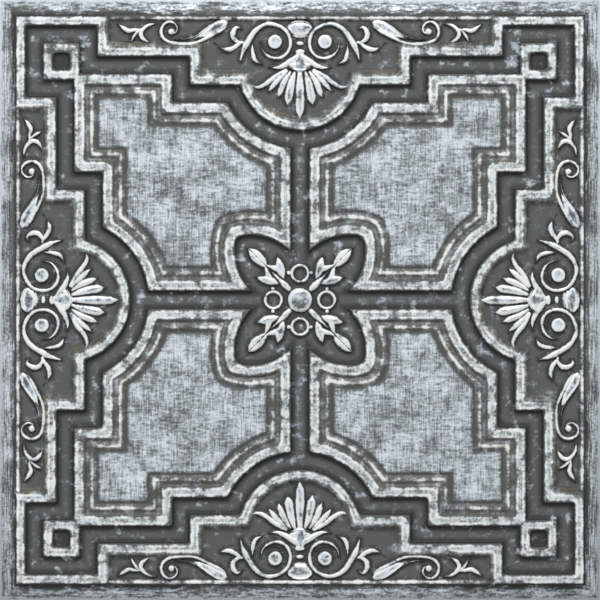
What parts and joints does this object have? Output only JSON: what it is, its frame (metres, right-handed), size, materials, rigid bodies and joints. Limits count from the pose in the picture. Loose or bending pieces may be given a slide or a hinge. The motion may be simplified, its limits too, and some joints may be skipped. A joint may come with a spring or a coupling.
{
  "type": "ceiling tile",
  "caption": "Square embossed PVC lay-in ceiling tile with stepped bands, corner panels, side ornament fields and a central rosette in an antique silver finish.",
  "frame": {"origin": "middle of the back, in the plane that the sheet rests on", "axes": "+Z out of the decorated face, X and Y along the edges of the square; the picture's top is +Y"},
  "size_m": [0.603, 0.603, 0.0072],
  "materials": {
    "sheet": "antique silver paint on dark PVC, dry brushed"
  },
  "bodies": {
    "root": {"tile_sheet": "sheet"}
  },
  "joints": []
}
